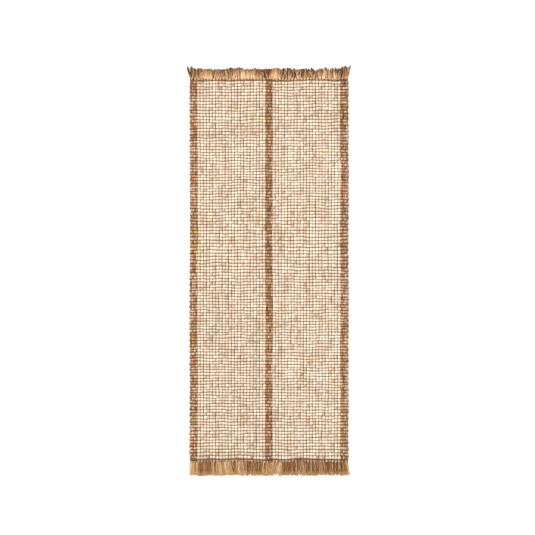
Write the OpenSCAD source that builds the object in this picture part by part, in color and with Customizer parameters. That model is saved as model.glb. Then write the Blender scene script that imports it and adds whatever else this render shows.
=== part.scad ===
// Hand-woven runner rug: two ivory fields, three jute stripes, a fringe at each end.
// X runs across the rug, Y along it, Z up; the origin is on the floor at the middle of the rug.
// The yarns lie in layers, as they do in the weave: ground warp, weft, then face warp.

/* [Overall] */
// Length from fringe tip to fringe tip
rug_length = 1800; // [900:10:3000]
// Width from selvedge to selvedge
rug_width = 700; // [500:10:1200]

/* [Bands] */
// Width of each jute border along the selvedges
border_w = 31.2; // [20:0.2:60]
// Width of the jute stripe down the middle
stripe_w = 28; // [14:0.5:60]
// Yarns in each border
border_yarns = 2; // [1:1:4]
// Yarns in the middle stripe
stripe_yarns = 2; // [1:1:4]
// Spacing wanted for the yarns of the ivory fields, rounded to a whole number of yarns
field_yarn_pitch = 13.7; // [10:0.1:20]

/* [Face warp] */
// Height of a face yarn above the web that joins it to the next
face_rib_h = 3.2; // [2:0.1:6]
// Thickness of the web between face yarns, where they are pressed together
face_web_t = 1.2; // [0.6:0.1:2]
// Gap between neighbouring face yarns at the web
face_rib_gap = 1.4; // [0.6:0.1:3]

/* [Ground warp] */
// Height of a ground yarn above the web
ground_rib_h = 1.2; // [0.6:0.1:2]
// Thickness of the web between ground yarns
ground_web_t = 0.8; // [0.5:0.1:2]
// Width of a ground yarn
ground_yarn_w = 3.4; // [2:0.1:5]

/* [Weft] */
// Spacing wanted for the thick picks, rounded to a whole number of picks
pick_pitch = 13; // [11:0.5:20]
// Diameter of the thick weft yarn
thick_weft_d = 4.6; // [3:0.1:6]
// Diameter of the thin weft yarn between the thick picks
thin_weft_d = 2; // [1:0.1:3]
// How far the weft's turns stand out past the borders
turn_out = 3.4; // [2:0.1:6]

/* [Ends] */
// Diameter of the heading cord that locks the last pick
heading_d = 5; // [3:0.1:8]
// Diameter of each end knot
knot_d = 8.4; // [6:0.1:8.8]
// Length of the fringe past the knots
fringe_l = 55; // [20:1:120]
// Height of a tuft
tuft_h = 5; // [3:0.1:6]
// Gap between neighbouring tufts
tuft_gap = 1.6; // [0.6:0.1:2.4]

/* [Fits] */
// Clearance between layers and between neighbours
clear = 0.2; // [0.1:0.05:0.4]
// How far the loose trim (knots and tufts) stays above the floor
floor_lift = 0.4; // [0.2:0.1:1]

/* [Hidden] */
$fn = 32;

JUTE = [0.66, 0.49, 0.33];
DARK_JUTE = [0.52, 0.36, 0.22];
IVORY = [0.91, 0.84, 0.74];

// Along the rug
heading_l = clear + heading_d + clear + knot_d;
woven_l = rug_length - 2 * (heading_l + fringe_l);
pick_count = round(woven_l / pick_pitch);
pick_step = woven_l / pick_count;

// Across the rug
woven_w = rug_width - 2 * turn_out;
field_w = (woven_w - stripe_w) / 2 - border_w;
field_yarns = round(field_w / field_yarn_pitch);
turn_r = pick_step / 2;
weft_w = woven_w - 2 * (turn_r + thick_weft_d / 2 - turn_out);

// Up through the layers
weft_z = ground_web_t + ground_rib_h + clear + thick_weft_d / 2;
face_z = weft_z + thick_weft_d / 2 + clear;

// Bands from left to right: [left edge, width, yarns]
left_border = [-woven_w / 2, border_w, border_yarns];
left_field = [-stripe_w / 2 - field_w, field_w, field_yarns];
centre_stripe = [-stripe_w / 2, stripe_w, stripe_yarns];
right_field = [stripe_w / 2, field_w, field_yarns];
right_border = [woven_w / 2 - border_w, border_w, border_yarns];
BANDS = [left_border, left_field, centre_stripe, right_field, right_border];

// Middle and width of each column of face yarn, over all bands
COLUMNS = [for (b = BANDS) for (i = [0:b[2] - 1]) [b[0] + b[1] * (i + 0.5) / b[2], b[1] / b[2]]];

// Middle of each ground yarn: one between neighbouring columns, and one outside at each edge
ground_edge = woven_w / 2 - ground_yarn_w / 2;
GROUND_X = concat(
  [-ground_edge],
  [for (i = [0:len(COLUMNS) - 2]) COLUMNS[i][0] + COLUMNS[i][1] / 2],
  [ground_edge]
);

// Points over one half-round rib, from its left foot to its right foot
RIB_STEPS = 6;
function rib(x, w, z, h) = [
  for (k = [0:RIB_STEPS]) let (a = 180 - 180 * k / RIB_STEPS) [x + w / 2 * cos(a), z + h * sin(a)]
];

// Yarns that lie side by side along Y and are joined by a thin web: one closed solid
module ribbed_sheet(x0, x1, z, web_t, ribs, rib_h) {
  top = [for (r = ribs) each rib(r[0], r[1], z + web_t, rib_h)];
  translate([0, woven_l / 2, 0]) rotate([90, 0, 0]) linear_extrude(woven_l)
    polygon(concat([[x0, z], [x0, z + web_t]], top, [[x1, z + web_t], [x1, z]]));
}

module face_band(band) {
  gap = clear / 2;
  yarn_w = band[1] / band[2];
  ribs = [for (i = [0:band[2] - 1]) [band[0] + yarn_w * (i + 0.5), yarn_w - face_rib_gap]];
  ribbed_sheet(band[0] + gap, band[0] + band[1] - gap, face_z, face_web_t, ribs, face_rib_h);
}

// A straight yarn along X
module pick_rod(d, w) {
  rotate([0, 90, 0]) cylinder(h = w, d = d, center = true);
}

// The half turn of the thick weft round the end of pick i, open towards +X
module weft_turn(i) {
  translate([0, pick_y(i) + turn_r, weft_z]) rotate([0, 0, 90]) rotate_extrude(angle = 180)
    translate([turn_r, 0]) circle(d = thick_weft_d);
}

function pick_y(i) = -woven_l / 2 + pick_step * (i + 0.5);

module ground_warp() {
  inset = 0.1;
  ribs = [for (x = GROUND_X) [x, ground_yarn_w - 2 * inset]];
  color(DARK_JUTE) ribbed_sheet(-woven_w / 2, woven_w / 2, 0, ground_web_t, ribs, ground_rib_h);
}

module thick_weft() {
  color(JUTE) for (i = [0:pick_count - 1])
    translate([0, pick_y(i), weft_z]) pick_rod(thick_weft_d, weft_w);
}

module thin_weft() {
  color(DARK_JUTE) for (i = [0:pick_count - 2])
    translate([0, pick_y(i) + pick_step / 2, weft_z]) pick_rod(thin_weft_d, weft_w);
}

module face_warp_left_border() { color(JUTE) face_band(left_border); }
module face_warp_left_field() { color(IVORY) face_band(left_field); }
module face_warp_centre_stripe() { color(JUTE) face_band(centre_stripe); }
module face_warp_right_field() { color(IVORY) face_band(right_field); }
module face_warp_right_border() { color(JUTE) face_band(right_border); }

// The weft turns back at the left after every even pick, and at the right after every odd one
module selvedge_turns_left() {
  color(JUTE) for (i = [0:2:pick_count - 2]) translate([-weft_w / 2, 0, 0]) weft_turn(i);
}

module selvedge_turns_right() {
  color(JUTE) for (i = [1:2:pick_count - 2])
    translate([weft_w / 2, 0, 0]) mirror([1, 0, 0]) weft_turn(i);
}

module heading_cord() {
  color(DARK_JUTE) translate([0, woven_l / 2 + clear + heading_d / 2, weft_z])
    pick_rod(heading_d, woven_w);
}

module end_knots() {
  color(JUTE) for (c = COLUMNS)
    translate([c[0], woven_l / 2 + heading_l - knot_d / 2, floor_lift + knot_d / 2]) sphere(d = knot_d);
}

// A tuft lies flat: round at both sides, straight from its knot to its tip
module tuft(w) {
  rotate([90, 0, 0]) linear_extrude(fringe_l) union() {
    square([w - tuft_h, tuft_h], center = true);
    for (s = [-1, 1]) translate([s * (w - tuft_h) / 2, 0]) circle(d = tuft_h);
  }
}

module fringe() {
  color(JUTE) for (c = COLUMNS)
    translate([c[0], rug_length / 2, floor_lift + tuft_h / 2]) tuft(c[1] - tuft_gap);
}

module heading_cord_top() { heading_cord(); }
module heading_cord_bottom() { mirror([0, 1, 0]) heading_cord(); }
module end_knots_top() { end_knots(); }
module end_knots_bottom() { mirror([0, 1, 0]) end_knots(); }
module fringe_top() { fringe(); }
module fringe_bottom() { mirror([0, 1, 0]) fringe(); }

ground_warp();
thick_weft();
thin_weft();
face_warp_left_border();
face_warp_left_field();
face_warp_centre_stripe();
face_warp_right_field();
face_warp_right_border();
selvedge_turns_left();
selvedge_turns_right();
heading_cord_top();
heading_cord_bottom();
end_knots_top();
end_knots_bottom();
fringe_top();
fringe_bottom();
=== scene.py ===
# %% [markdown]
# # A hand-woven runner rug, yarn by yarn
#
# The rug lies flat on the floor. It has two ivory fields of pebbled weave, a jute stripe along each
# long edge and one down the middle, and a jute fringe at each end, one tousled and one combed. A
# weave painted on a slab would look right from above and like a slab from everywhere else. So this
# lesson makes the yarns themselves: numpy works out where every yarn runs, and one Geometry Nodes
# tree spins yarn along those paths.
#
# X runs across the rug, Y along it and Z up, in metres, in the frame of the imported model.

# %% Load the frame
import math

import bpy
import numpy as np
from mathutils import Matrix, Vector


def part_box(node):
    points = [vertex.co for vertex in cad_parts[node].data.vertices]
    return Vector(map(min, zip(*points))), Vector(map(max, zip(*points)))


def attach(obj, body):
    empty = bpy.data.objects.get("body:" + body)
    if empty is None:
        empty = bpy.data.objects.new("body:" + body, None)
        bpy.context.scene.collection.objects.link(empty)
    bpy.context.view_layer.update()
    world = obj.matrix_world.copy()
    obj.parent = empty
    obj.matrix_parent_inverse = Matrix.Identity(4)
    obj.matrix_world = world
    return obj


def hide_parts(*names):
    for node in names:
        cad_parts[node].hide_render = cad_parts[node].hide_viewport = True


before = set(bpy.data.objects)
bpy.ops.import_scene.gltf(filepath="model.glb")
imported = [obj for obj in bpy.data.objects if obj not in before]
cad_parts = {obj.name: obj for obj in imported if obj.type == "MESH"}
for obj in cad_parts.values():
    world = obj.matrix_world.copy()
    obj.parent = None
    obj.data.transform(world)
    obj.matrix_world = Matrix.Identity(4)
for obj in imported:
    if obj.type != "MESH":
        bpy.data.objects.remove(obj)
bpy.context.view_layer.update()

scene = bpy.context.scene
MM = 0.001

# %% [markdown]
# ## Camera
#
# The rug is seen from straight above, with its length up the picture. A lens looks at it from high
# up, because then the near and the far end come out equally wide. The camera stands a little off
# the rug's middle, so that the rug sits slightly low and to the right in the frame.

# %% Place the camera
VIEW_WIDTH = 2.353
CAMERA_HEIGHT = 9.0
CAMERA_OFF_MIDDLE = (-0.0066, 0.0110)

camera_data = bpy.data.cameras.new("camera")
camera_data.sensor_width = 36.0
camera_data.lens = camera_data.sensor_width * CAMERA_HEIGHT / VIEW_WIDTH
camera_data.clip_end = 60.0
camera = bpy.data.objects.new("camera", camera_data)
camera.location = (*CAMERA_OFF_MIDDLE, CAMERA_HEIGHT)
scene.collection.objects.link(camera)
scene.camera = camera
print("lens:", round(camera_data.lens, 1), "mm")

# %% [markdown]
# ## A pen for node trees
#
# Materials and Geometry Nodes are both trees of nodes. Written out in full, a tree hides its idea
# behind hundreds of `new` and `link` lines. This small pen adds a node and fills its inputs in one
# call, and a `Wire` lets sums and products be written as in any formula.

# %% Pen and wire
class Wire:
    """A value on its way through a node tree."""

    def __init__(self, pen, socket):
        self.pen, self.socket = pen, socket

    def __add__(self, other):
        return self.pen.maths("ADD", self, other)

    def __sub__(self, other):
        return self.pen.maths("SUBTRACT", self, other)

    def __mul__(self, other):
        return self.pen.maths("MULTIPLY", self, other)


class Pen:
    """Adds nodes to one tree."""

    def __init__(self, tree):
        self.tree = tree

    def node(self, kind, inputs=None, **settings):
        made = self.tree.nodes.new(kind)
        for name, value in settings.items():
            setattr(made, name, value)
        for key, value in (inputs or {}).items():
            self.fill(made.inputs[key], value)
        return made

    def fill(self, socket, value):
        if isinstance(value, Wire):
            self.tree.links.new(value.socket, socket)
        else:
            socket.default_value = value

    def wire(self, kind, inputs=None, out=0, **settings):
        return Wire(self, self.node(kind, inputs, **settings).outputs[out])

    def maths(self, operation, *values):
        return self.wire("ShaderNodeMath", dict(enumerate(values)), operation=operation)

    def vector(self, x=0.0, y=0.0, z=0.0):
        return self.wire("ShaderNodeCombineXYZ", {"X": x, "Y": y, "Z": z})

    def parts(self, vector):
        split = self.node("ShaderNodeSeparateXYZ", {0: vector})
        return [Wire(self, s) for s in split.outputs]

    def vector_maths(self, operation, a, b):
        return self.wire("ShaderNodeVectorMath", {0: a, 1: b}, operation=operation)

    def noise(self, vector, scale, detail=2.0, out=0, **inputs):
        sockets = {"Vector": vector, "Scale": scale, "Detail": detail, **inputs}
        return self.wire("ShaderNodeTexNoise", sockets, out)

# %% [markdown]
# ## Sizes of the weave
#
# The cloth has two sets of lengthwise yarns. Thick face yarns go over every thick pick of the weft
# and under every thin one, so each shows as a row of pebbles. Thin ground yarns between them do the
# opposite. That is why the pebbles stand in straight rows and columns, where a plain weave has a
# chequerboard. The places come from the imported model; the yarn sizes are the weaver's.

# %% Rows
woven_low, woven_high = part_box("ground_warp")
_, picks_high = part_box("thick_weft")
_, turns_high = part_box("selvedge_turns_right")
heading_low, heading_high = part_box("heading_cord_top")
knots_low, knots_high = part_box("end_knots_top")
_, fringe_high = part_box("fringe_top")

PICK_PITCH = 13.0 * MM
woven_length = woven_high.y - woven_low.y
picks = round(woven_length / PICK_PITCH)
pick_step = woven_length / picks
thick_picks = np.arange(picks)
thin_picks = np.arange(picks + 1) - 0.5
print(picks, "thick picks every", round(pick_step / MM, 2), "mm")

# %% Columns
FIELD_YARN_PITCH = 13.7 * MM
STRIPE_YARNS = 2
EDGE_YARN_INSET = 1.5 * MM

bands = {}
for name in ("left_border", "left_field", "centre_stripe", "right_field", "right_border"):
    low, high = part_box("face_warp_" + name)
    width = high.x - low.x
    yarns = round(width / FIELD_YARN_PITCH) if name.endswith("field") else STRIPE_YARNS
    bands[name] = {
        "x": low.x + width * (np.arange(yarns) + 0.5) / yarns,
        "pitch": width / yarns,
    }
columns = np.concatenate([band["x"] for band in bands.values()])
pitches = np.concatenate([np.full(len(b["x"]), b["pitch"]) for b in bands.values()])
gaps = np.concatenate([
    [woven_low.x + EDGE_YARN_INSET],
    (columns[1:] + columns[:-1]) / 2,
    [woven_high.x - EDGE_YARN_INSET],
])
print(len(columns), "columns of face yarn and", len(gaps), "ground yarns beside them")

# %% [markdown]
# ## The floor and the light
#
# A plain pale floor and soft studio light. One broad lamp stands high up, past the far end and to
# one side, and models the pebbles. A weak one opposite and an even pale sky fill their shadows. The
# floor lies a hair below the rug, so that the two never flicker through each other.

# %% Floor
FLOOR_SIZE = 14.0
FLOOR_DROP = 0.5 * MM

floor_mesh = bpy.data.meshes.new("floor")
half = FLOOR_SIZE / 2
floor_mesh.from_pydata([(-half, -half, 0), (half, -half, 0), (half, half, 0), (-half, half, 0)],
                       [], [(0, 1, 2, 3)])
floor = bpy.data.objects.new("floor", floor_mesh)
floor.location.z = -FLOOR_DROP
scene.collection.objects.link(floor)


def new_material(name):
    """An empty node material: its pen and its Principled shader."""
    material = bpy.data.materials.new(name)
    material.use_nodes = True
    return material, Pen(material.node_tree), material.node_tree.nodes["Principled BSDF"]


floor_paint, _, shader = new_material("pale_floor")
shader.inputs["Base Color"].default_value = (0.93, 0.93, 0.93, 1)
shader.inputs["Roughness"].default_value = 0.9
floor.data.materials.append(floor_paint)
print("floor:", FLOOR_SIZE, "m square")


# %% Lamps and sky
def area_lamp(name, place, size, power):
    """A square soft lamp at a place, turned towards the middle of the rug."""
    lamp = bpy.data.lights.new(name, "AREA")
    lamp.size = size
    lamp.energy = power
    holder = bpy.data.objects.new(name, lamp)
    holder.location = place
    holder.rotation_euler = (-Vector(place)).to_track_quat("-Z", "Y").to_euler()
    scene.collection.objects.link(holder)
    print(name, "stands", round(Vector(place).length, 1), "m from the rug's middle")


area_lamp("key_lamp", place=(-3.6, 4.6, 6.0), size=2.4, power=720.0)
area_lamp("fill_lamp", place=(2.2, -1.5, 3.6), size=2.5, power=60.0)

world = bpy.data.worlds.new("studio")
world.use_nodes = True
sky = world.node_tree.nodes["Background"]
sky.inputs["Color"].default_value = (1.0, 0.985, 0.96, 1)
sky.inputs["Strength"].default_value = 0.75
scene.world = world
scene.view_settings.view_transform = "Standard"

# %% [markdown]
# ## Spinning yarn along a path
#
# Every yarn in the cloth is the same kind of thing: a path with a flattened, uneven cross-section.
# So one Geometry Nodes tree makes them all. It turns chains of edges into curves, thickens them by
# the girth stored at each point, and keeps for the material where the yarn's core is and how far
# along it each point lies. Before that, the whole cloth drifts: rows wander and edges waver by a
# few millimetres, and because every yarn reads the same drift, they wander together. Two noises
# make the drift, a slow one and a quick one, and both move the cloth more along than across.

# %% Trees for Geometry Nodes
def new_tree(name, inputs):
    """A Geometry Nodes tree with named inputs: its pen, and a wire for each input."""
    tree = bpy.data.node_groups.new(name, "GeometryNodeTree")
    tree.interface.new_socket("Geometry", in_out="OUTPUT", socket_type="NodeSocketGeometry")
    for label, kind in inputs.items():
        tree.interface.new_socket(label, in_out="INPUT", socket_type="NodeSocket" + kind)
    pen = Pen(tree)
    given = pen.node("NodeGroupInput")
    return pen, {label: Wire(pen, given.outputs[label]) for label in inputs}


def finish_tree(pen, geometry, material):
    """Ends a tree the way the export needs it: instances realised, smooth, and with its material."""
    real = pen.wire("GeometryNodeRealizeInstances", {"Geometry": geometry})
    smooth = pen.wire("GeometryNodeSetShadeSmooth", {"Geometry": real})
    done = pen.wire("GeometryNodeSetMaterial", {"Geometry": smooth, "Material": material})
    pen.node("NodeGroupOutput", {"Geometry": done})
    return pen.tree


# %% The cloth's drift
SLOW_DRIFT = {"scale": 2.3, "swing": (6.0 * MM, 15.0 * MM, 0)}
QUICK_DRIFT = {"scale": 13.0, "swing": (4.0 * MM, 9.0 * MM, 0)}
MIDDLE_OF_NOISE = (0.5, 0.5, 0.5)


def drift(pen, place, scale, swing):
    """A smooth random shift at each place, up to half the swing either way."""
    way = pen.noise(place, scale, 1.0, out="Color")
    return pen.vector_maths("MULTIPLY", pen.vector_maths("SUBTRACT", way, MIDDLE_OF_NOISE), swing)


def cloth_drift(pen):
    """How far the cloth has moved from its drawn place, as a wire in metres."""
    place = pen.wire("GeometryNodeInputPosition")
    slow = drift(pen, place, **SLOW_DRIFT)
    return pen.vector_maths("ADD", slow, drift(pen, place, **QUICK_DRIFT))


# %% The spinning tree
def keep(pen, geometry, name, value, kind="FLOAT"):
    """Stores a value on every point under a name that the material can read."""
    return pen.wire("GeometryNodeStoreNamedAttribute",
                    {"Geometry": geometry, "Name": name, "Value": value},
                    data_type=kind, domain="POINT")


def spinning_tree():
    """Turns chains of edges into closed yarn with an oval section."""
    pen, given = new_tree("spin_yarn", {
        "Paths": "Geometry", "Width": "Float", "Height": "Float", "Sides": "Int",
        "Material": "Material",
    })
    curve = pen.wire("GeometryNodeMeshToCurve", {"Mesh": given["Paths"]})
    curve = pen.wire("GeometryNodeSetPosition", {"Geometry": curve, "Offset": cloth_drift(pen)})
    girth = pen.wire("GeometryNodeInputNamedAttribute", {"Name": "girth"}, data_type="FLOAT")
    curve = pen.wire("GeometryNodeSetCurveRadius", {"Curve": curve, "Radius": girth})
    curve = keep(pen, curve, "core", pen.wire("GeometryNodeInputPosition"), "FLOAT_VECTOR")
    curve = keep(pen, curve, "run", pen.wire("GeometryNodeSplineParameter", out="Length"))
    curve = pen.wire("GeometryNodeSetCurveNormal", {"Curve": curve}, mode="Z_UP")
    ring = pen.wire("GeometryNodeCurvePrimitiveCircle",
                    {"Resolution": given["Sides"], "Radius": 0.5})
    oval_size = pen.vector(given["Width"], given["Height"], 1.0)
    oval = pen.wire("GeometryNodeTransform", {"Geometry": ring, "Scale": oval_size})
    yarn = pen.wire("GeometryNodeCurveToMesh",
                    {"Curve": curve, "Profile Curve": oval, "Fill Caps": True})
    return finish_tree(pen, yarn, given["Material"])


spin_yarn = spinning_tree()
print("the spinning tree has", len(spin_yarn.nodes), "nodes")


# %% From paths to a plain piece
def path_mesh(name, points, values):
    """Chains of edges through points[chain, step], with named numbers at each point."""
    chains, steps = points.shape[:2]
    order = np.arange(chains * steps).reshape(chains, steps)
    edges = np.stack([order[:, :-1], order[:, 1:]], -1).reshape(-1, 2)
    mesh = bpy.data.meshes.new(name)
    mesh.from_pydata(points.reshape(-1, 3).tolist(), edges.tolist(), [])
    for label, numbers in values.items():
        numbers = np.broadcast_to(numbers, (chains, steps)).astype(np.float32)
        mesh.attributes.new(label, "FLOAT", "POINT").data.foreach_set("value", numbers.ravel())
    return mesh


def grow(name, tree, host, **inputs):
    """Runs a tree on a mesh and returns what it makes as a plain piece at the origin."""
    carrier = bpy.data.objects.new(name + "_paths", host)
    scene.collection.objects.link(carrier)
    modifier = carrier.modifiers.new("grow", "NODES")
    modifier.node_group = tree
    for socket in tree.interface.items_tree:
        if socket.in_out == "INPUT" and socket.name in inputs:
            modifier[socket.identifier] = inputs[socket.name]
    depsgraph = bpy.context.evaluated_depsgraph_get()
    mesh = bpy.data.meshes.new_from_object(
        carrier.evaluated_get(depsgraph), preserve_all_data_layers=True, depsgraph=depsgraph)
    bpy.data.objects.remove(carrier)
    bpy.data.meshes.remove(host)
    mesh.name = name
    piece = bpy.data.objects.new(name, mesh)
    scene.collection.objects.link(piece)
    return piece

# %% [markdown]
# ## A flat map of every yarn
#
# A finish can be baked to a picture only on a flat map. A yarn is a tube, so it is slit along its
# side and unrolled into a strip. Long yarns are cut into several strips, and all the strips of a
# piece fill even cells of one square. Blender's own unwrapping could do this too, but it is slow on
# so many faces, and here the order of the faces is known.

# %% Unroll the yarns
def numbers_of(collection, label, width, kind):
    """One property of every item of a mesh collection, as a numpy array."""
    values = np.empty(len(collection) * width, kind)
    collection.foreach_get(label, values)
    return values


def unroll(piece, steps, sides):
    """Slits every yarn along its side and lays the strips in even cells of the unit square."""
    mesh = piece.data
    corners = numbers_of(mesh.polygons, "loop_total", 1, np.int32)
    starts = numbers_of(mesh.polygons, "loop_start", 1, np.int32)
    segments = steps - 1
    quads = starts[corners == 4].reshape(-1, segments, sides)
    chains = len(quads)
    skin = numbers_of(mesh.vertices, "co", 3, np.float32).reshape(chains, steps, sides, 3)
    length = np.linalg.norm(np.diff(skin[:, :, 0], axis=1), axis=-1).sum() / chains
    girth = np.linalg.norm(np.diff(skin, axis=2), axis=-1).mean() * sides
    sections = max(1, round(math.sqrt(length / girth / chains)))
    per_section = math.ceil(segments / sections)
    cells_across = max(1, round(math.sqrt(chains / (length / girth))))
    cells_up = math.ceil(chains * sections / cells_across)
    chain, ring, side = np.indices(quads.shape)
    section = ring // per_section
    cell = chain * sections + section
    uv = np.zeros((len(mesh.loops), 2), np.float32)
    for corner, (ahead, beside) in enumerate(((0, 0), (0, 1), (1, 1), (1, 0))):
        along = (ring - section * per_section + ahead) / per_section
        uv[quads + corner, 0] = (cell % cells_across + along) / cells_across
        uv[quads + corner, 1] = (cell // cells_across + (side + beside) / sides) / cells_up
    mesh.uv_layers.new(name="OFBake").data.foreach_set("uv", uv.ravel())


def spin(name, points, width, height, sides, material, **values):
    """Spins yarn along points[chain, step]. values are numbers stored at each point."""
    piece = grow(name, spin_yarn, path_mesh(name, points, values), Width=width, Height=height,
                 Sides=sides, Material=material)
    unroll(piece, points.shape[1], sides)
    triangles = sum(len(p.vertices) - 2 for p in piece.data.polygons)
    print(f"{name}: {len(points)} yarns, {triangles} triangles")
    return piece

# %% [markdown]
# ## Yarn materials
#
# Spun jute is a bundle of flat golden fibres, twisted. Close up it shows slanting plies and fine
# fibre streaks; further off, each lot of yarn has its own brown. The same recipe serves every yarn:
# plies as a wave that winds round the core, streaks that follow them, a tone for each pebble, and
# slow patches of another hue. The tops of the pebbles are painted paler and their sunken sides
# darker, and the grooves between the plies darker too: painted light and shade. All of it reads
# the yarn's own core and run, so it follows every bend.

# %% Small tools for materials
def attribute(pen, name, out="Fac"):
    return pen.wire("ShaderNodeAttribute", out=out, attribute_name=name)


def between(pen, value, low, high, bottom=0.0, top=1.0):
    """Maps low..high to bottom..top, and no further."""
    return pen.wire("ShaderNodeMapRange", {0: value, 1: low, 2: high, 3: bottom, 4: top})


def colour_ramp(pen, factor, stops):
    """A colour for each place from 0 to 1: stops are (place, (red, green, blue))."""
    ramp = pen.node("ShaderNodeValToRGB", {"Fac": factor})
    while len(ramp.color_ramp.elements) < len(stops):
        ramp.color_ramp.elements.new(0.5)
    for element, (place, colour) in zip(ramp.color_ramp.elements, stops):
        element.position, element.color = place, (*colour, 1)
    return Wire(pen, ramp.outputs["Color"])


def grain(pen, scales, *ways):
    """Coordinates for a noise, finer or coarser along each way."""
    return pen.vector(*(way * scale for way, scale in zip(ways, scales)))


def mixed(pen, share, first, second, blend="MIX"):
    """The first colour, with a share of the second one over it."""
    sockets = {"Factor": share, 6: first, 7: second}
    return pen.wire("ShaderNodeMix", sockets, out=2, data_type="RGBA", blend_type=blend)


def patched(pen, colour, place, scale, hues):
    """Tints slow patches: some with the first hue, some with the second."""
    warm, cool, _ = pen.parts(pen.noise(place, scale, 2.0, out="Color"))
    for patch, hue in zip((warm, cool), hues):
        tinted = mixed(pen, 1.0, colour, (*hue, 1), "MULTIPLY")
        colour = mixed(pen, between(pen, patch, 0.52, 0.76), colour, tinted)
    return colour


# %% Yarn recipe
PLY_SLANT = 0.27
BASE_SHADE = 0.15
TONE_SHARE = 0.55
FIBRE_SHARE = 0.45
HAIR_SHARE = 0.95
PAINTED_PLY_SHADE = 0.12
FIBRE_RELIEF = 0.45
HAIR_RELIEF = 0.7
PLY_RELIEF = 0.8
FIBRE_GRAIN = (4.0, 45.0, 20.0)
HAIR_GRAIN = (24.0, 90.0, 9.0)
SUNKEN_Z = 3.5 * MM
CREST_Z = 9.5 * MM
YARN_PATCHES = 16.0
ALONG, ACROSS = 0, 1


def yarn_material(name, way, width, stops, hues, painted_height_shade=0.25, plies=5):
    """Twisted yarn that runs along the rug or across it.
    fade sets its painted light and shade: crests paler, sunken sides darker.
    """
    material, pen, shader = new_material(name)
    place = pen.wire("ShaderNodeTexCoord", out="Object")
    run, tone = attribute(pen, "run"), attribute(pen, "tone")
    local = pen.parts(pen.vector_maths("SUBTRACT", place, attribute(pen, "core", "Vector")))
    angle = pen.maths("ARCTAN2", local[way], local[2])
    twist = angle * (plies / (2 * math.pi)) + run * (PLY_SLANT * plies / width)
    groove = pen.maths("ABSOLUTE", pen.maths("SINE", twist * math.pi))
    fibres = pen.noise(grain(pen, FIBRE_GRAIN, twist, run, tone), 1.0, 3.0, Roughness=0.7)
    hairs = pen.noise(grain(pen, HAIR_GRAIN, twist, run, tone), 1.0, 3.0)
    crest = between(pen, pen.parts(place)[2], SUNKEN_Z, CREST_Z)
    shade = tone * TONE_SHARE + (fibres - 0.5) * FIBRE_SHARE + (hairs - 0.5) * HAIR_SHARE
    # Painted light and shade by height: paler where the yarn rises to its crests, darker where it
    # sinks.
    shade = shade + (crest - 0.5) * painted_height_shade + BASE_SHADE
    # Painted shade in the grooves between the plies, painted light along their middles.
    shade = shade + pen.maths("POWER", groove, 0.6) * PAINTED_PLY_SHADE
    colour = patched(pen, colour_ramp(pen, shade, stops), place, YARN_PATCHES, hues)
    pen.fill(shader.inputs["Base Color"], colour)
    shader.inputs["Roughness"].default_value = 0.88
    shader.inputs["Specular IOR Level"].default_value = 0.18
    shader.inputs["Sheen Weight"].default_value = 0.05
    relief = fibres * FIBRE_RELIEF + hairs * HAIR_RELIEF
    relief = relief + pen.maths("POWER", groove, 0.5) * PLY_RELIEF
    bump = pen.wire("ShaderNodeBump", {"Strength": 0.9, "Distance": 0.08 * width, "Height": relief})
    pen.fill(shader.inputs["Normal"], bump)
    return material


# %% Yarn colours
IVORY = ((0.0, (0.24, 0.145, 0.08)), (0.3, (0.47, 0.34, 0.235)), (0.65, (0.68, 0.555, 0.43)),
         (1.0, (0.85, 0.76, 0.64)))
JUTE = ((0.0, (0.045, 0.014, 0.003)), (0.4, (0.150, 0.062, 0.019)), (0.7, (0.31, 0.166, 0.078)),
        (1.0, (0.64, 0.47, 0.32)))
DARK_JUTE = ((0.0, (0.040, 0.016, 0.004)), (0.5, (0.14, 0.065, 0.020)), (1.0, (0.29, 0.165, 0.070)))
PALE_JUTE = ((0.0, (0.20, 0.11, 0.05)), (0.5, (0.46, 0.30, 0.17)), (1.0, (0.85, 0.68, 0.48)))
PALE_HUES = ((1.0, 0.92, 0.86), (0.97, 1.0, 0.90))
BROWN_HUES = ((1.10, 0.77, 0.62), (1.0, 0.98, 0.60))

ivory_yarn = yarn_material("ivory_yarn", ALONG, 12 * MM, IVORY, PALE_HUES, plies=6)
# The stripe yarn gets the strongest painted light and shade by height.
stripe_yarn = yarn_material("jute_stripe_yarn", ALONG, 8 * MM, JUTE, BROWN_HUES, painted_height_shade=1.0)
ground_yarn = yarn_material("jute_ground_yarn", ALONG, 3.2 * MM, DARK_JUTE, BROWN_HUES)
weft_yarn = yarn_material("jute_weft_yarn", ACROSS, 4.6 * MM, DARK_JUTE, BROWN_HUES)
cord_yarn = yarn_material("jute_cord_yarn", ACROSS, 2.7 * MM, DARK_JUTE, BROWN_HUES)
knot_yarn = yarn_material("jute_knot_yarn", ACROSS, 3 * MM, PALE_JUTE, PALE_HUES)
loose_yarn = yarn_material("jute_loose_yarn", ALONG, 1.7 * MM, PALE_JUTE, PALE_HUES)
print(sum(m.name.endswith("yarn") for m in bpy.data.materials), "kinds of yarn")


# %% Fibre recipe
FIBRE_HUES = ((1.05, 0.84, 0.76), (1.0, 0.98, 0.70))
FIBRE_PATCHES = 9.0
STREAK_GRAIN = (70.0, 55.0)
STREAK_SHARE = 0.35


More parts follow.
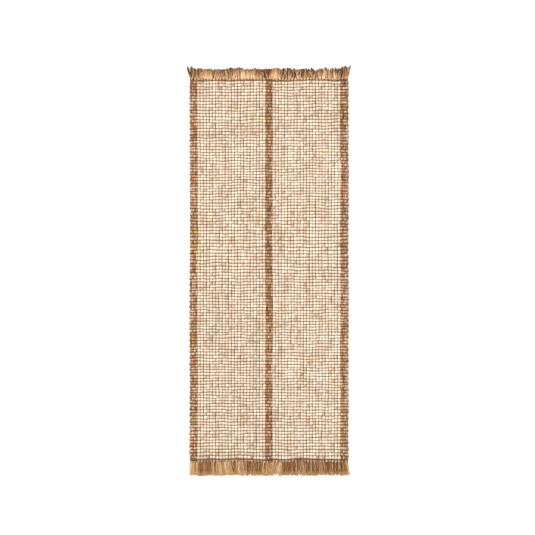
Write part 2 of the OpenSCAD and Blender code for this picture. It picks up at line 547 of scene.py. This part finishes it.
def fibre_material(name, stops, tip_colour, tip_from, tip_to):
    """Loose fibre: fine streaks along each, and a tip of another colour."""
    material, pen, shader = new_material(name)
    place = pen.wire("ShaderNodeTexCoord", out="Object")
    run, tone = attribute(pen, "run"), attribute(pen, "tone")
    streaks = pen.noise(grain(pen, STREAK_GRAIN, tone, run), 1.0, 2.0)
    shade = tone * 0.8 + (streaks - 0.5) * STREAK_SHARE + 0.1
    colour = patched(pen, colour_ramp(pen, shade, stops), place, FIBRE_PATCHES, FIBRE_HUES)
    colour = mixed(pen, between(pen, run, tip_from, tip_to, top=0.6), colour, (*tip_colour, 1))
    pen.fill(shader.inputs["Base Color"], colour)
    shader.inputs["Roughness"].default_value = 0.7
    shader.inputs["Specular IOR Level"].default_value = 0.2
    shader.inputs["Sheen Weight"].default_value = 0.03
    return material


FRINGE = ((0.0, (0.070, 0.023, 0.007)), (0.35, (0.30, 0.130, 0.043)), (0.7, (0.62, 0.335, 0.145)),
          (1.0, (0.95, 0.72, 0.46)))
GOLDEN = (0.62, 0.36, 0.14)
DULL = (0.26, 0.135, 0.058)
combed_fibre = fibre_material("jute_combed_fibre", FRINGE, GOLDEN, 42 * MM, 56 * MM)
tousled_fibre = fibre_material("jute_tousled_fibre", FRINGE, DULL, 28 * MM, 50 * MM)
stray_fibre = fibre_material("jute_stray_fibre", PALE_JUTE, GOLDEN, 10 * MM, 20 * MM)
print(sum(m.name.endswith("fibre") for m in bpy.data.materials), "kinds of loose fibre")

# %% [markdown]
# ## Face yarns
#
# A face yarn is nearly as thick as the pick it climbs over, so its path is not a plain wave: the
# crests are broad and the troughs narrow. Hand-spun yarn is never even, so each pebble gets its own
# girth, its own small shift and its own tone. Nor are hand-beaten rows even. The weaver beats them
# closer in some stretches than in others, and neighbouring rows drift apart and together again, so
# that the dark weft shows where they part. A faint line of painted shade runs across near one end,
# in the crease where the rug was folded, and the cloth past it is a little duller. Every band of the
# rug is a piece of its own, and each ivory field is two, to keep any one piece light.

# %% Uneven rows
def slow_wander(rng, chains, steps, knots):
    """Smooth random numbers along each chain, of about unit size."""
    coarse = rng.normal(size=(chains, knots))
    places = np.linspace(0, knots - 1, steps)
    left = np.minimum(places.astype(int), knots - 2)
    part = places - left
    part = part ** 2 * (3 - 2 * part)
    return coarse[:, left] * (1 - part) + coarse[:, left + 1] * part


BEAT_SPREAD = 0.05
BEATEN_STRETCHES = 12
BENDS = 14
ROW_SLIP = 0.9 * MM

row_rng = np.random.default_rng(3)
row_bends = row_rng.normal(size=(picks, BENDS)) * ROW_SLIP
spacing = 1 + BEAT_SPREAD * slow_wander(row_rng, 1, picks, BEATEN_STRETCHES)[0]
row_edges = woven_length * np.concatenate([[0], np.cumsum(spacing)]) / spacing.sum()


def row_y(pick, x):
    """Where a row lies along the rug at x. Whole picks are thick ones, halves are thin ones."""
    y = woven_low.y + np.interp(pick, thin_picks, row_edges)
    row = np.clip(pick, 0, picks - 1.001)
    bend = (x - woven_low.x) / (woven_high.x - woven_low.x) * (BENDS - 1)
    row, bend = np.broadcast_arrays(row, np.clip(bend, 0, BENDS - 1.001))
    before, left = row.astype(int), bend.astype(int)
    row_part, bend_part = row - before, bend - left
    bend_part = bend_part ** 2 * (3 - 2 * bend_part)
    for row_step, row_share in ((0, 1 - row_part), (1, row_part)):
        for bend_step, bend_share in ((0, 1 - bend_part), (1, bend_part)):
            y = y + row_bends[before + row_step, left + bend_step] * row_share * bend_share
    return y


print("row spacing:", round(spacing.min() * pick_step / MM, 1), "to",
      round(spacing.max() * pick_step / MM, 1), "mm")


# %% Lengthwise paths
PEBBLE_SHIFT = 0.3 * MM
PEBBLE_RISE = 0.25 * MM
KNOTTED_Z = 3.8 * MM


def lengthwise_paths(rng, xs, rings, crest, trough, broad, over_thick, wander):
    """Paths along Y that rise over one kind of pick, dive under the other and end in the knots."""
    beyond = ((knots_low.y + knots_high.y) / 2 - woven_high.y) / pick_step
    in_weave = np.arange(picks * rings + 1) / rings - 0.5
    steps = np.concatenate([[-0.5 - beyond], in_weave, [picks - 0.5 + beyond]])
    held = steps.clip(-0.5, picks - 0.5)
    phase = np.cos(2 * np.pi * held) * (1 if over_thick else -1)
    lift = phase + broad * (1 - phase ** 2)
    on_crest = lift > 0
    crest_at = np.floor(held + (0.5 if over_thick else 1.0)).astype(int)
    shift, slip, rise, swell = rng.normal(size=(4, len(xs), crest_at.max() + 1))[:, :, crest_at]
    x = xs[:, None] + slow_wander(rng, len(xs), len(steps), picks // 7) * wander
    x = x + shift * PEBBLE_SHIFT
    y = row_y(held, xs[:, None]) + (steps - held) * pick_step + slip * PEBBLE_SHIFT * on_crest
    z = (crest + trough) / 2 + (crest - trough) / 2 * lift + rise * PEBBLE_RISE * on_crest
    z = np.where(steps == held, z, KNOTTED_Z)
    return np.stack([x, y, z], -1), lift, shift, swell * on_crest


# %% Tones of the face yarns
FACE_RINGS = 6
PEBBLE_TONE = 0.19
STRETCH_TONE = 0.10
END_TONE = 0.16
END_ROWS = 2.0
CREASE_Y = 0.60
CREASE_SLANT = 0.06
CREASE_WIDTH = 10 * MM
PAINTED_CREASE_SHADE = 0.12
PAST_CREASE_TONE = 0.07


def face_tones(rng, points, shift, tone):
    """A tone for every point of some face yarns: duller near the ends and from the fold on.
    A line of painted shade marks the crease of the fold.
    """
    yarns, steps = points.shape[:2]
    tone = tone + PEBBLE_TONE * shift + STRETCH_TONE * slow_wander(rng, yarns, steps, picks // 4)
    step = np.arange(steps) / FACE_RINGS
    from_end = np.minimum(step, step[::-1])
    tone = tone - END_TONE * np.exp(-(from_end / END_ROWS) ** 2)
    past_crease = points[..., 1] - CREASE_Y - CREASE_SLANT * points[..., 0]
    # Painted shade along the crease of the fold.
    tone = tone - PAINTED_CREASE_SHADE * np.exp(-(past_crease / CREASE_WIDTH) ** 2)
    return tone - PAST_CREASE_TONE * (past_crease > 0)


# %% One band
FACE_TOP = 11.2 * MM
LEAST_GIRTH = 0.93
CREST_GIRTH = 0.10
PEBBLE_GIRTH = 0.05


def weave_band(name, xs, width, height, dive, material, tone, seed):
    """Face yarns of one size, as one piece. dive is how deep they go between the thick picks."""
    rng = np.random.default_rng(seed)
    crest = FACE_TOP - height / 2
    points, lift, shift, swell = lengthwise_paths(
        rng, xs, FACE_RINGS, crest, trough=crest - dive, broad=0.35, over_thick=True,
        wander=0.34 * MM)
    girth = LEAST_GIRTH + CREST_GIRTH * lift + PEBBLE_GIRTH * swell
    tone = face_tones(rng, points, shift, tone)
    return spin(name, points, width, height, 8, material, girth=girth, tone=tone)


# %% Weave the bands
def doubled(xs, pitch):
    """Each yarn of a jute band is two strands, which lie side by side."""
    return np.sort(np.concatenate([xs - pitch / 4, xs + pitch / 4]))


FIELD_YARN_GAP = 0.8 * MM
BAND_TONES = {"left_border": 0.14, "centre_stripe": 0.04, "right_border": 0.10}
# The right field's tone is 0.04 above the left's: painted light, as if more light fell on that side.
FIELD_TONES_AND_PAINTED_LIGHT = {"left_field": 0.56, "right_field": 0.60}
FIELD_YARN = {"height": 4.4 * MM, "dive": 6.1 * MM, "material": ivory_yarn}
JUTE_STRAND = {"height": 3.3 * MM, "dive": 5.4 * MM, "material": stripe_yarn}
face_pieces = []
for number, (name, band) in enumerate(bands.items()):
    xs, pitch = band["x"], band["pitch"]
    if name.endswith("field"):
        for half, part in enumerate(np.array_split(xs, 2)):
            piece = weave_band(f"{name}_yarns_{half + 1}", part, pitch - FIELD_YARN_GAP,
                               **FIELD_YARN, tone=FIELD_TONES_AND_PAINTED_LIGHT[name], seed=100 + 10 * number + half)
            face_pieces.append((piece, name, len(part) * pitch))
    else:
        piece = weave_band(name + "_yarns", doubled(xs, pitch), pitch / 2,
                           **JUTE_STRAND, tone=BAND_TONES[name], seed=100 + 10 * number)
        face_pieces.append((piece, name, len(xs) * pitch))

# %% [markdown]
# ## Ground yarns and weft
#
# The ground yarns are thin and dark. They cross over the thin picks, where they show as a row of
# brown dots in each valley, and under the thick ones, where they cover the rug's back.
# The weft goes to and fro in one length: at each long edge it turns round and comes back, and these
# turns are the small dark bumps along the selvedges. So the thick weft is a single path, and so is
# the thin one.

# %% Ground yarns
def lay_ground(name, xs, seed):
    """Some of the thin yarns between the columns, as one piece."""
    rng = np.random.default_rng(seed)
    points, _, shift, swell = lengthwise_paths(
        rng, xs, rings=4, crest=7.3 * MM, trough=1.25 * MM, broad=0.1, over_thick=False,
        wander=0.3 * MM)
    return spin(name, points, width=3.2 * MM, height=2.2 * MM, sides=5, material=ground_yarn,
                girth=1 + 0.12 * swell, tone=0.5 + 0.16 * shift)


ground_pieces = [
    lay_ground(f"ground_yarns_{half + 1}", xs, 71 + half)
    for half, xs in enumerate(np.array_split(gaps, 2))
]


# %% Weft paths
TURN_ANGLES = np.radians([-54, -18, 18, 54])


def to_and_fro(rows, z_at_yarn, z_at_gap, turn_x, turn_z, first_side):
    """One path over all picks in turn, with a half round turn at the end of each."""
    xs = np.sort(np.concatenate([columns, gaps[1:-1]]))
    z = np.where(np.isin(xs, columns), z_at_yarn, z_at_gap)
    out = picks_high.x + (turn_x - picks_high.x) * np.cos(TURN_ANGLES)
    path = []
    side = first_side
    for pick in rows:
        row = np.stack([xs, row_y(pick, xs), z], -1)
        path.append(row if side > 0 else row[::-1])
        if pick < rows[-1]:
            turn_y = row_y(pick + (1 + np.sin(TURN_ANGLES)) / 2, side * out)
            path.append(np.stack([side * out, turn_y, np.full(len(out), turn_z)], -1))
        side = -side
    return np.concatenate(path)


# %% Lay the weft
WEFT_WAVER = (0.1 * MM, 0.15 * MM, 0.08 * MM)


def lay_weft(name, rows, diameter, heights, sides, first_side, seed):
    """heights are the path's at a face yarn, at a gap and at a turn."""
    rng = np.random.default_rng(seed)
    at_yarn, at_gap, at_turn = heights
    path = to_and_fro(rows, at_yarn, at_gap, turns_high.x - diameter / 2, at_turn, first_side)
    path = path + rng.normal(size=path.shape) * WEFT_WAVER
    girth = 1.0 + 0.06 * rng.normal(size=len(path))
    tone = 0.5 + 0.10 * slow_wander(rng, 1, len(path), len(path) // 5)
    return spin(name, path[None], diameter, diameter, sides, weft_yarn, girth=girth, tone=tone)


thick_weft = lay_weft("thick_weft_yarn", thick_picks, diameter=4.6 * MM,
                      heights=(4.5 * MM, 5.1 * MM, 4.5 * MM), sides=6, first_side=1, seed=21)
thin_weft = lay_weft("thin_weft_yarn", thin_picks, diameter=2.2 * MM,
                     heights=(6.4 * MM, 5.4 * MM, 7.6 * MM), sides=5, first_side=-1, seed=22)

# %% [markdown]
# ## Ends of the rug
#
# Each end is locked by a heading cord of two strands twisted together. Past it, every column is
# wrapped into a knot, and its loose ends make one tuft of the fringe.

# %% Heading cords
ENDS = {"top": 1, "bottom": -1}
CORD_Z = 6.2 * MM
CORD_TONE = 0.65
CORD_TONE_SPREAD = 0.28


def twisted_cord(name, y_middle, z_middle, seed):
    """Two strands wound round each other along X."""
    lay, strand, offset = 8 * MM, 2.7 * MM, 1.15 * MM
    xs = np.arange(woven_low.x, woven_high.x, lay / 8)
    angle = 2 * np.pi * xs / lay + np.array([[0], [np.pi]])
    x = np.broadcast_to(xs, angle.shape)
    y = y_middle + offset * np.cos(angle)
    z = z_middle + offset * np.sin(angle)
    rng = np.random.default_rng(seed)
    girth = 1.0 + 0.06 * rng.normal(size=angle.shape)
    tone = CORD_TONE + CORD_TONE_SPREAD * slow_wander(rng, 1, len(xs), len(columns))
    return spin(name, np.stack([x, y, z], -1), strand, strand, 6, cord_yarn, girth=girth, tone=tone)


heading_y = (heading_low.y + heading_high.y) / 2
headings = {
    end: twisted_cord(f"heading_cord_{end}_strands", sign * heading_y, CORD_Z, seed=31 + sign)
    for end, sign in ENDS.items()
}


# %% End knots
def wrapped_knots(end, shade, seed):
    """A few turns of yarn round the neck of every tuft."""
    rng = np.random.default_rng(seed)
    count, turns, rings, yarn = len(columns), 2.5, 26, 3.0 * MM
    length, tilt, stagger, tone_spread = 6.2 * MM, 0.12, 0.7 * MM, 0.22
    knot_r = (knots_high.z - knots_low.z) / 2 - yarn / 2
    along = np.linspace(-0.5, 0.5, rings)
    angle = 2 * np.pi * turns * along + rng.uniform(0, 2 * np.pi, (count, 1))
    grip = 1 - 0.35 * (2 * np.abs(along)) ** 3
    reach = length * along
    x = columns[:, None] + 1.15 * knot_r * grip * np.cos(angle)
    x = x + rng.normal(0, tilt, (count, 1)) * reach
    middle_y = (knots_low.y + knots_high.y) / 2 + rng.normal(0, stagger, (count, 1))
    y = ENDS[end] * (middle_y + reach)
    z = knots_low.z + knot_r + yarn / 2 + knot_r * grip * np.sin(angle)
    girth = np.clip(1.25 - 1.1 * (2 * np.abs(along)) ** 6, 0.2, 1)
    tone = rng.normal(shade, tone_spread, (count, 1))
    return spin(f"end_knots_{end}_wraps", np.stack([x, y, z], -1), yarn, yarn, 6, knot_yarn,
                girth=girth, tone=tone)


knots = {
    "top": wrapped_knots("top", shade=0.55, seed=42),
    "bottom": wrapped_knots("bottom", shade=0.20, seed=40),
}

# %% [markdown]
# ## Fringe
#
# A tuft is a bunch of loose fibre, parted into a few locks. Some of its fibres leave the knot
# together and some come straight from the ground yarns beside it; they spread until they meet the
# next tuft, and end raggedly. Hair particles could draw them, but particles leave no mesh behind. So
# each fibre is a thin yarn of its own with only three sides, and the fibres of a lock share one lean
# and one wave. The near end of the rug was combed, and its fibres are a little longer. The far end
# was left tousled: there the locks curl and darken towards their tips, and more pale yarn ends lie
# across them.

# %% Locks of fibre
FIBRES_A_TUFT = 100
LOCKS = 6
CORNER_REACH = 14 * MM

tufts = len(columns)
fibre_grid = (tufts, FIBRES_A_TUFT, 1)
reach_max = fringe_high.y - knots_high.y
corner = np.exp(-((np.abs(columns) - columns.max()) / CORNER_REACH) ** 2)


def sort_into_locks(rng):
    """Each fibre's place across its tuft, from -1 to 1, and a dealer of one number to each lock."""
    across = rng.uniform(-1, 1, fibre_grid)
    lock = (across[..., 0] + 1) / 2 * LOCKS + rng.normal(0, 0.4, fibre_grid[:2])
    lock = lock.astype(int).clip(0, LOCKS - 1)
    tuft = np.arange(tufts)[:, None]

    def per_lock(low, high):
        return rng.uniform(low, high, (tufts, LOCKS))[tuft, lock][..., None]

    return across, per_lock


print(tufts, "tufts of", FIBRES_A_TUFT, "fibres reach", round(reach_max / MM, 1), "mm")


# %% Paths of the fibres
FIBRE_STEPS = 7
FROM_KNOT_SHARE = 0.55
KNOT_MOUTH = 2.2 * MM
CORNER_SPLAY = 7
SHARED_LEAN = 4
TUFT_LEAN = 2
LOCK_LEAN = 7
FLYAWAY_SHARE = 0.07
FLYAWAY_EXTRA = 0.14


def fibre_paths(rng, sign, reach, tousle, sway, across, per_lock):
    """The fibres' points, how far along each lies, how high in its lock, and which leave a knot."""
    t = np.linspace(0, 1, FIBRE_STEPS) ** 1.15
    fan = 1 - (1 - t) ** 4
    pitch = pitches[:, None, None]

    from_knot = rng.random(fibre_grid) < FROM_KNOT_SHARE
    root_x = across * np.where(from_knot, KNOT_MOUTH, pitch * 0.5)
    rest_x = across * pitch * (0.55 + 0.3 * tousle)
    shared = slow_wander(rng, 1, tufts, tufts // 4).T[..., None]
    lean = (corner * np.sign(columns) * CORNER_SPLAY)[:, None, None] + SHARED_LEAN * shared
    lean = lean + rng.normal(0, TUFT_LEAN, (tufts, 1, 1)) + per_lock(-LOCK_LEAN, LOCK_LEAN)
    lean = lean * sway * MM
    wave = np.sin(t * per_lock(4, 9) + per_lock(0, 6.28)) * per_lock(0.3, 1.1) * (0.5 + tousle) * MM
    frizz = rng.normal(0, 0.3 * MM, (tufts, FIBRES_A_TUFT, FIBRE_STEPS)) * (0.3 + tousle)
    x = columns[:, None, None] + root_x + (rest_x - root_x) * fan
    x = x + lean * t ** 1.6 + (wave + frizz) * fan

    ragged = (0.06 + 0.34 * tousle) * rng.beta(1.2, 2.4, fibre_grid)
    ragged = ragged + per_lock(0, 0.04 + 0.10 * tousle)
    flyaway = rng.uniform(0, FLYAWAY_EXTRA, fibre_grid) * (rng.random(fibre_grid) < FLYAWAY_SHARE)
    length = reach[:, None, None] * (1 - ragged + flyaway)
    root_y = np.where(from_knot, knots_high.y - 3.5 * MM, knots_low.y + 0.5 * MM)
    y = sign * (root_y + (knots_high.y - root_y + length) * t)

    layer = rng.uniform(0, 1, fibre_grid)
    root_z = np.where(from_knot, 3.2 + 2.4 * layer, 1.2 + 3.0 * layer) * MM
    rest_z = (0.7 + 3.8 * layer * per_lock(0.5, 1.2)) * MM
    z = root_z + (rest_z - root_z) * fan + np.abs(wave) * 0.5 * t
    return np.stack(np.broadcast_arrays(x, y, z), -1), t, layer, from_knot


# %% Tones of the fibres
PATCH_TONE = 0.15
TUFT_TONE = 0.11
LOCK_TONE = 0.24
FIBRE_TONE = 0.12
PAINTED_LAYER_SHADE = 0.35
UNKNOTTED_TONE = 0.12


def fibre_tones(rng, per_lock, t, layer, from_knot, shade, contrast, darkening):
    """A tone for every point. contrast spreads the locks, and darkening grows towards the tips."""
    tone = slow_wander(rng, 1, tufts, tufts // 3).T[..., None] * PATCH_TONE
    tone = tone + rng.normal(0, TUFT_TONE, (tufts, 1, 1)) + per_lock(-LOCK_TONE, LOCK_TONE)
    tone = shade + tone * contrast + rng.normal(0, FIBRE_TONE, fibre_grid)
    # Painted shade: fibres lying low in their lock, under the others, are darker, and the top ones
    # paler.
    tone = tone + (layer - 0.5) * PAINTED_LAYER_SHADE - UNKNOTTED_TONE * ~from_knot
    return tone - darkening * (t - 0.4)


# %% Both fringes
def fringe_fibres(end, reach, tousle, sway, shade, contrast, darkening, material, seed):
    """All fibres of one end of the rug. reach is how far each tuft runs past its knot."""
    rng = np.random.default_rng(seed)
    across, per_lock = sort_into_locks(rng)
    points, t, layer, from_knot = fibre_paths(rng, ENDS[end], reach, tousle, sway, across, per_lock)
    tone = fibre_tones(rng, per_lock, t, layer, from_knot, shade, contrast, darkening)
    points = points.reshape(-1, FIBRE_STEPS, 3)
    girth = np.clip(1.15 - 0.75 * t ** 3, 0.1, 1.2) * rng.uniform(0.7, 1.3, (len(points), 1))
    return spin(f"fringe_{end}_fibres", points, width=0.95 * MM, height=0.7 * MM, sides=3,
                material=material, girth=girth, tone=tone.reshape(-1, FIBRE_STEPS))


rng = np.random.default_rng(51)
combed = reach_max * (1.14 - 0.12 * rng.beta(1, 3, tufts))
tousled = reach_max * (0.83 + 0.07 * rng.normal(size=tufts).clip(-1.5, 1.5) + 0.30 * corner)
fringes = {
    "top": fringe_fibres("top", tousled, tousle=0.9, sway=1.0, shade=0.50, contrast=2.0,
                         darkening=0.65, material=tousled_fibre, seed=52),
    "bottom": fringe_fibres("bottom", combed, tousle=0.4, sway=0.8, shade=0.27, contrast=1.3,
                            darkening=-0.1, material=combed_fibre, seed=53),
}


# %% Loose yarn ends
def loose_ends(end, share, curl, seed):
    """Pale yarn ends that left a share of the knots and lie over the tufts in long curves."""
    rng = np.random.default_rng(seed)
    chosen = np.flatnonzero(rng.random(len(columns)) < share)
    t = np.linspace(0, 1, 14)

    def each(low, high):
        return rng.uniform(low, high, (len(chosen), 1))

    sway = np.sin(t * each(3, 7) + each(0, 6.28))
    x = columns[chosen, None] + each(-3, 3) * MM + each(-8, 8) * MM * curl * t
    x = x + (sway - sway[:, :1]) * each(1, 4) * MM * curl
    length = reach_max * each(0.62, 0.98) * (1.1 - 0.15 * curl)
    y = ENDS[end] * (knots_low.y + each(0, 3) * MM + length * t)
    z = (6.6 * MM + each(0, 1) * MM) * (1 - t ** 2) + 4.2 * MM * t ** 2
    tone = rng.normal(0.76, 0.15, (len(chosen), 1))
    return spin(f"fringe_{end}_loose_ends", np.stack([x, y, z], -1), width=1.9 * MM,
                height=1.7 * MM, sides=5, material=loose_yarn, girth=1.05 - 0.35 * t ** 4, tone=tone)


loose = {
    "top": loose_ends("top", share=0.75, curl=1.0, seed=61),
    "bottom": loose_ends("bottom", share=0.5, curl=0.6, seed=62),
}

# %% [markdown]
# ## Stray fibres
#
# Jute sheds. Single fibres stand up from the pebbles and out of the long edges, and they are what
# makes a close look at the rug read as fibre and not as beads. Some two and a half thousand short
# curved hairs, sown at random over the cloth, are enough.

# %% Sow the stray fibres
STRAYS = 2600
STRAY_Z = 10.2 * MM


def stray_fibres(seed):
    """Short curved hairs that rise from the pebbles and bend back to them."""
    rng = np.random.default_rng(seed)
    t = np.linspace(0, 1, 5)

    def each(low, high):
        return rng.uniform(low, high, (STRAYS, 1))

    heading = each(0, 2 * np.pi)
    length = each(6, 17) * MM
    curl = each(-1.6, 1.6)
    x = each(woven_low.x, woven_high.x) + length * t * np.cos(heading + curl * t)
    y = each(woven_low.y, woven_high.y) + length * t * np.sin(heading + curl * t)
    z = STRAY_Z + (each(0, 3.2) * np.sin(np.pi * t * each(0.6, 1.0)) - 0.4) * MM
    return spin("stray_fibres", np.stack([x, y, z], -1), width=0.32 * MM, height=0.26 * MM,
                sides=3, material=stray_fibre, girth=1.1 - 0.7 * t ** 2,
                tone=rng.normal(0.6, 0.15, (STRAYS, 1)))


strays = stray_fibres(81)

# %% [markdown]
# ## The rug's body
#
# The rug is one body, because nothing in it is hinged: it bends anywhere. Every piece rides on that
# body and stands for the imported solids that it was drawn from.

# %% Ride and replace
whole_width = {
    "ground_warp": ground_pieces,
    "thick_weft": [thick_weft],
    "thin_weft": [thin_weft],
    "selvedge_turns_left": [thick_weft],
    "selvedge_turns_right": [thick_weft],
}
for end in ENDS:
    whole_width["heading_cord_" + end] = [headings[end]]
    whole_width["end_knots_" + end] = [knots[end]]
    whole_width["fringe_" + end] = [fringes[end], loose[end]]

for node, made in whole_width.items():
    for piece in made:
        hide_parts(node)
for piece, band, _ in face_pieces:
    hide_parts("face_warp_" + band)

SLOTS = {
    "ivory_field": [p for p, band, _ in face_pieces if band.endswith("field")],
    "jute_stripe": [p for p, band, _ in face_pieces if not band.endswith("field")],
    "jute_ground": [*ground_pieces, *headings.values()],
    "jute_weft": [thick_weft, thin_weft],
    "jute_fringe": [*knots.values(), *fringes.values(), *loose.values(), strays],
}
for slot, made in SLOTS.items():
    for piece in made:
        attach(piece, "root")

crossing = [*ground_pieces, thick_weft, thin_weft, *SLOTS["jute_fringe"], *headings.values()]
for piece, band, width in face_pieces:
    crossing if band == "centre_stripe" else []
